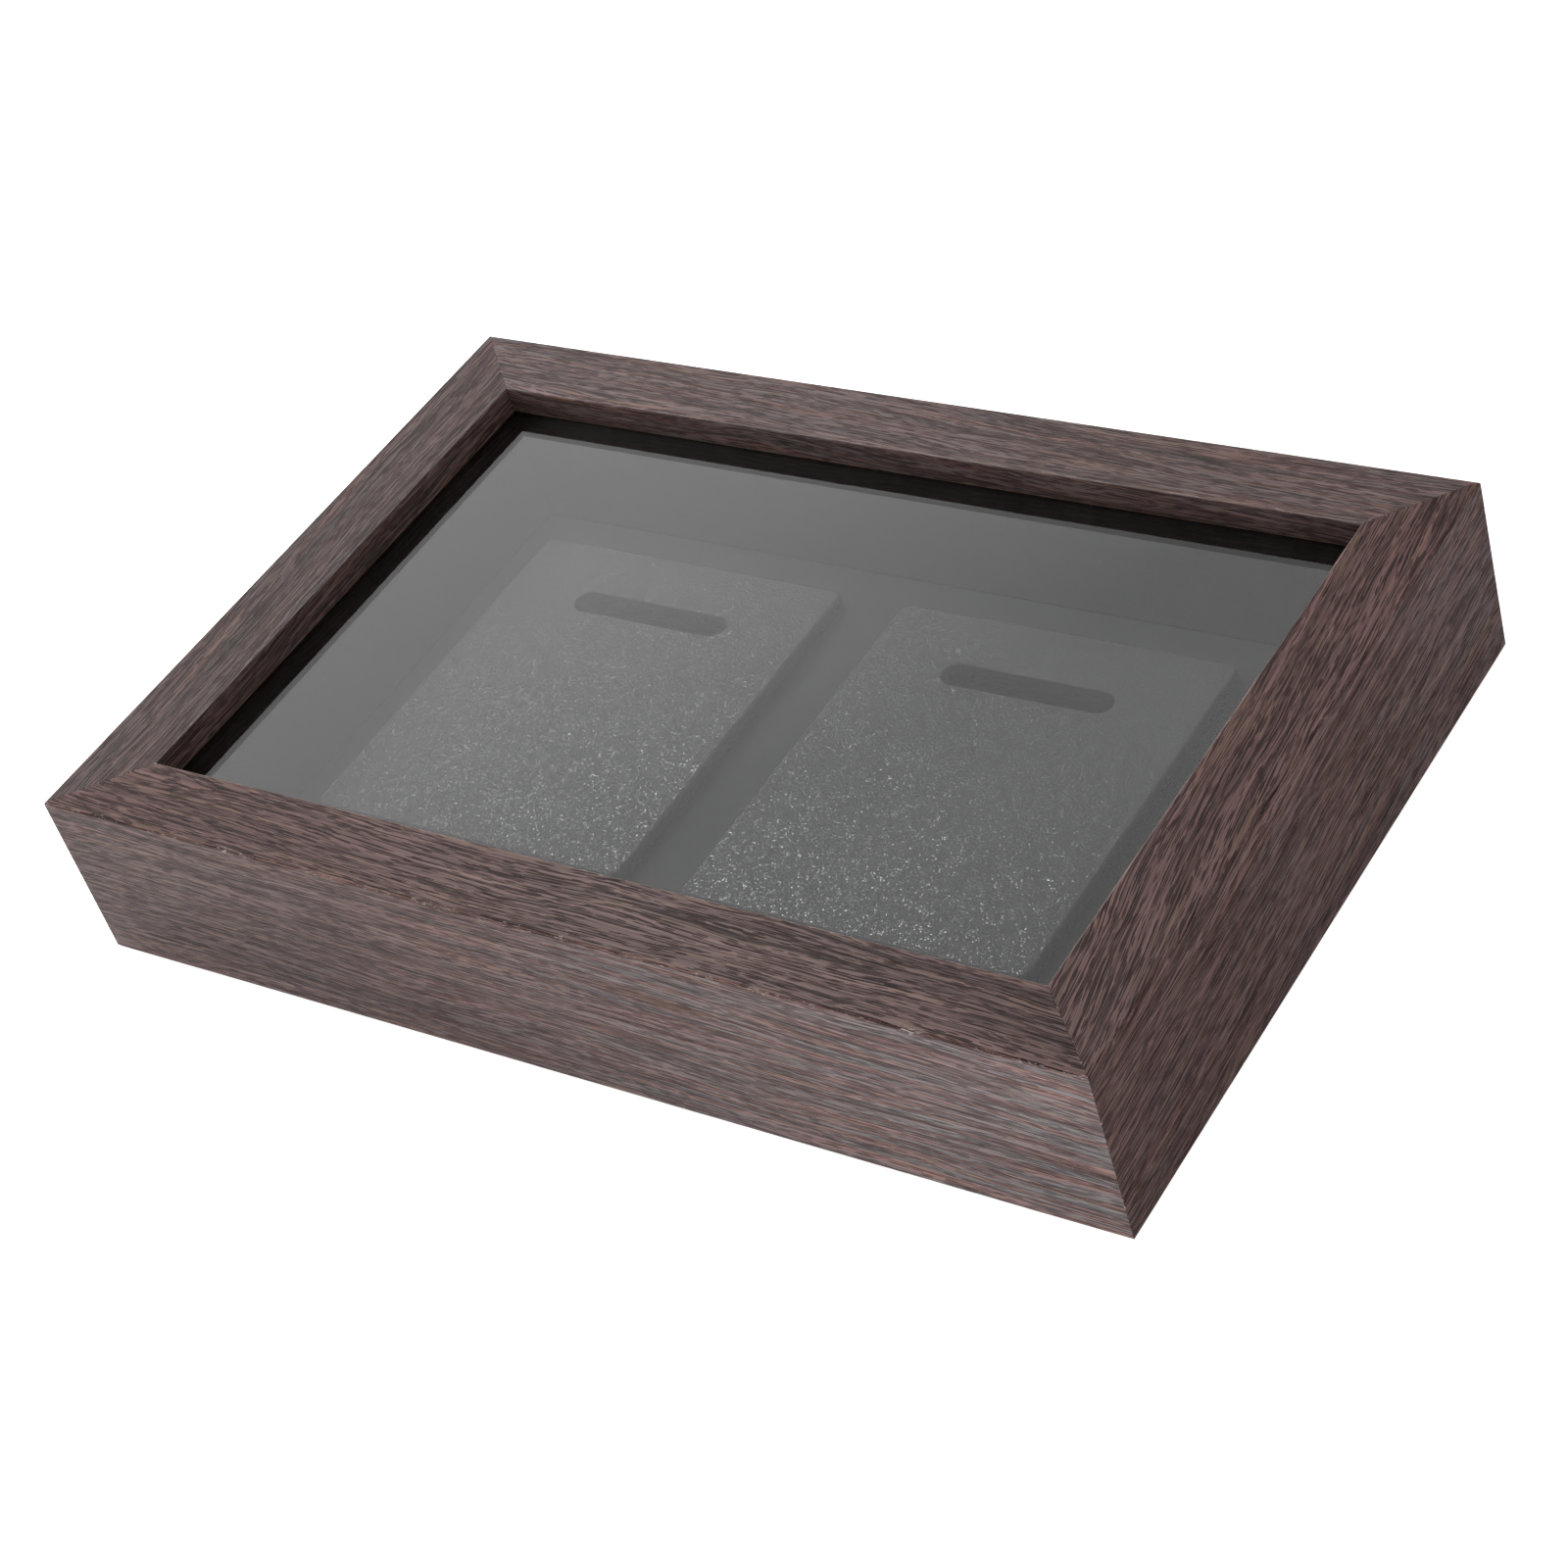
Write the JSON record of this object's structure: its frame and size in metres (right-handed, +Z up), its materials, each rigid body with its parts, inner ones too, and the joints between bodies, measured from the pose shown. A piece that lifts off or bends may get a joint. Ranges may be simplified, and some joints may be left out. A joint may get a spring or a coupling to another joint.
{
  "type": "medal display box",
  "caption": "Deep glazed display box with a mitred dark wood-grain case and slotted black medal plates behind the glass, closed from behind by a push-in cover with turn buttons.",
  "frame": {"origin": "centre of the base, on the plane that the box lies on with its glass up", "axes": "+X along the long rails to the right, +Y towards the far rail, which is the upper one when the box hangs, +Z up out of the glass"},
  "size_m": [0.3, 0.2, 0.051],
  "materials": {
    "walnut_foil": "satin, embossed dark walnut grain along each rail",
    "clear_glass": "polished float glass",
    "black_foam": "matt black, flocked foam",
    "black_flock": "matt black flocked paper on board",
    "black_leathercloth": "fine pebble grain with a broad sheen",
    "plate_fibreboard": "raw fibreboard",
    "raw_pine": "sawn softwood",
    "brown_fibreboard": "smooth hardboard",
    "nickelled_steel": "satin nickel plate",
    "zinc_fastener": "bright zinc plate"
  },
  "bodies": {
    "case": {"near_rail": "walnut_foil", "right_rail": "walnut_foil", "far_rail": "walnut_foil", "left_rail": "walnut_foil", "glass_pane": "clear_glass", "liner_strip_far": "black_foam", "liner_strip_near": "black_foam", "liner_strip_left": "black_foam", "liner_strip_right": "black_foam", "display_board": "black_flock", "plate_cloth_left": "black_leathercloth", "plate_cloth_right": "black_leathercloth", "plate_core_left": "plate_fibreboard", "plate_core_right": "plate_fibreboard", "batten_far": "raw_pine", "batten_near": "raw_pine", "batten_left": "raw_pine", "batten_right": "raw_pine", "sawtooth_hanger_left": "nickelled_steel", "sawtooth_hanger_right": "nickelled_steel", "turn_button_screws": "zinc_fastener", "hanger_nails": "zinc_fastener", "corner_v_nails": "zinc_fastener"},
    "back_cover": {"back_cover": "brown_fibreboard"},
    "turn_button_far_left": {"turn_button_far_left": "nickelled_steel"},
    "turn_button_far_right": {"turn_button_far_right": "nickelled_steel"},
    "turn_button_near_left": {"turn_button_near_left": "nickelled_steel"},
    "turn_button_near_right": {"turn_button_near_right": "nickelled_steel"},
    "turn_button_left_side": {"turn_button_left_side": "nickelled_steel"},
    "turn_button_right_side": {"turn_button_right_side": "nickelled_steel"}
  },
  "joints": [
    {"name": "back_cover_lift", "type": "slide", "parent": "case", "child": "back_cover", "axis": [0, 0, -1], "range_m": [0, 0.04]},
    {"name": "turn_button_far_left_turn", "type": "hinge", "parent": "case", "child": "turn_button_far_left", "pos_m": [-0.0797, 0.0892, 0.004], "axis": [0, 0, 1], "range_deg": [0, 90]},
    {"name": "turn_button_far_right_turn", "type": "hinge", "parent": "case", "child": "turn_button_far_right", "pos_m": [0.0797, 0.0892, 0.004], "axis": [0, 0, -1], "range_deg": [0, 90]},
    {"name": "turn_button_near_left_turn", "type": "hinge", "parent": "case", "child": "turn_button_near_left", "pos_m": [-0.0797, -0.0892, 0.004], "axis": [0, 0, -1], "range_deg": [0, 90]},
    {"name": "turn_button_near_right_turn", "type": "hinge", "parent": "case", "child": "turn_button_near_right", "pos_m": [0.0797, -0.0892, 0.004], "axis": [0, 0, 1], "range_deg": [0, 90]},
    {"name": "turn_button_left_side_turn", "type": "hinge", "parent": "case", "child": "turn_button_left_side", "pos_m": [-0.1392, 0, 0.004], "axis": [0, 0, 1], "range_deg": [0, 90]},
    {"name": "turn_button_right_side_turn", "type": "hinge", "parent": "case", "child": "turn_button_right_side", "pos_m": [0.1392, 0, 0.004], "axis": [0, 0, -1], "range_deg": [0, 90]}
  ]
}
